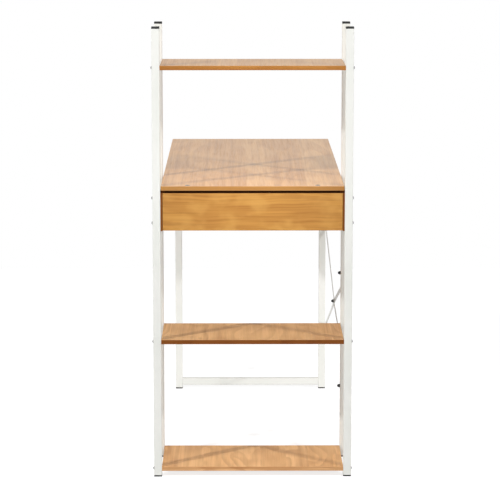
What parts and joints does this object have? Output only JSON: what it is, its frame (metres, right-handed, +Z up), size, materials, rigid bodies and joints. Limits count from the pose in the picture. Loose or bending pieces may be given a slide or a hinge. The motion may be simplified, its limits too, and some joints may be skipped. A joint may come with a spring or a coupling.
{
  "type": "ladder desk",
  "caption": "Narrow desk whose near end hangs in a tall square-tube shelf ladder, with a roller drawer under the desktop, a leg frame at the far end and a crossed strip brace.",
  "frame": {"origin": "on the floor, under the middle of the desktop's length and width", "axes": "+Z up, +Y from the shelf ladder to the leg frame, +X to the right, towards the brace; the drawer opens to -Y"},
  "size_m": [0.5052, 1.05, 1.14],
  "materials": {
    "white_powder_coat": "satin powder coat",
    "black_plastic": "fine grained",
    "oak_laminate": "satin laminate, grained",
    "drawer_hardboard": "smooth hardboard",
    "zinc_steel": "zinc plated",
    "nylon": "moulded",
    "dark_steel": "dark plated",
    "black_steel": "black oxide"
  },
  "bodies": {
    "frame": {"bottom_shelf": "oak_laminate", "box_axle_left": "zinc_steel", "box_axle_right": "zinc_steel", "box_back": "oak_laminate", "box_bolts": "dark_steel", "box_inserts": "zinc_steel", "box_runner_left": "zinc_steel", "box_runner_right": "zinc_steel", "box_side_left": "oak_laminate", "box_side_right": "oak_laminate", "box_stretcher": "oak_laminate", "brace_bolts": "dark_steel", "brace_centre_bolt": "dark_steel", "brace_nuts": "black_steel", "brace_strip_falling": "white_powder_coat", "brace_strip_rising": "white_powder_coat", "desk_rail_left": "white_powder_coat", "desk_rail_right": "white_powder_coat", "desktop": "oak_laminate", "desktop_bolts": "dark_steel", "flange_screws": "zinc_steel", "front_cap_left": "black_plastic", "front_cap_right": "black_plastic", "front_foot_left": "black_plastic", "front_foot_right": "black_plastic", "front_post_left": "white_powder_coat", "front_post_right": "white_powder_coat", "leg_foot_left": "black_plastic", "leg_foot_right": "black_plastic", "leg_left": "white_powder_coat", "leg_right": "white_powder_coat", "lower_crossbar": "white_powder_coat", "middle_shelf": "oak_laminate", "rail_flange_left": "white_powder_coat", "rail_flange_right": "white_powder_coat", "rail_screws": "zinc_steel", "rear_cap_left": "black_plastic", "rear_cap_right": "black_plastic", "rear_foot_left": "black_plastic", "rear_foot_right": "black_plastic", "rear_post_left": "white_powder_coat", "rear_post_right": "white_powder_coat", "shelf_bolts": "dark_steel", "shelf_inserts": "zinc_steel", "top_shelf": "oak_laminate", "upper_crossbar": "white_powder_coat"},
    "drawer": {"drawer_axle_left": "zinc_steel", "drawer_axle_right": "zinc_steel", "drawer_back": "oak_laminate", "drawer_bottom": "drawer_hardboard", "drawer_front": "oak_laminate", "drawer_rail_left": "zinc_steel", "drawer_rail_right": "zinc_steel", "drawer_side_left": "oak_laminate", "drawer_side_right": "oak_laminate"},
    "box_roller_left": {"box_roller_left": "nylon"},
    "box_roller_right": {"box_roller_right": "nylon"},
    "drawer_roller_left": {"drawer_roller_left": "nylon"},
    "drawer_roller_right": {"drawer_roller_right": "nylon"}
  },
  "joints": [
    {"name": "drawer_slide", "type": "slide", "parent": "frame", "child": "drawer", "axis": [0, -1, 0], "range_m": [0, 0.13]},
    {"name": "box_roller_left_spin", "type": "hinge", "parent": "frame", "child": "box_roller_left", "pos_m": [-0.2125, -0.499, 0.6535], "axis": [1, 0, 0], "continuous": true},
    {"name": "box_roller_right_spin", "type": "hinge", "parent": "frame", "child": "box_roller_right", "pos_m": [0.2125, -0.499, 0.6535], "axis": [1, 0, 0], "continuous": true},
    {"name": "drawer_roller_left_spin", "type": "hinge", "parent": "drawer", "child": "drawer_roller_left", "pos_m": [-0.213, -0.336, 0.6535], "axis": [1, 0, 0], "continuous": true},
    {"name": "drawer_roller_right_spin", "type": "hinge", "parent": "drawer", "child": "drawer_roller_right", "pos_m": [0.213, -0.336, 0.6535], "axis": [1, 0, 0], "continuous": true}
  ],
  "couplings": [
    {"joint": "box_roller_left_spin", "follows": "drawer_slide", "rad_per_m": 111.11},
    {"joint": "box_roller_right_spin", "follows": "drawer_slide", "rad_per_m": 111.11},
    {"joint": "drawer_roller_left_spin", "follows": "drawer_slide", "rad_per_m": 111.11},
    {"joint": "drawer_roller_right_spin", "follows": "drawer_slide", "rad_per_m": 111.11}
  ]
}
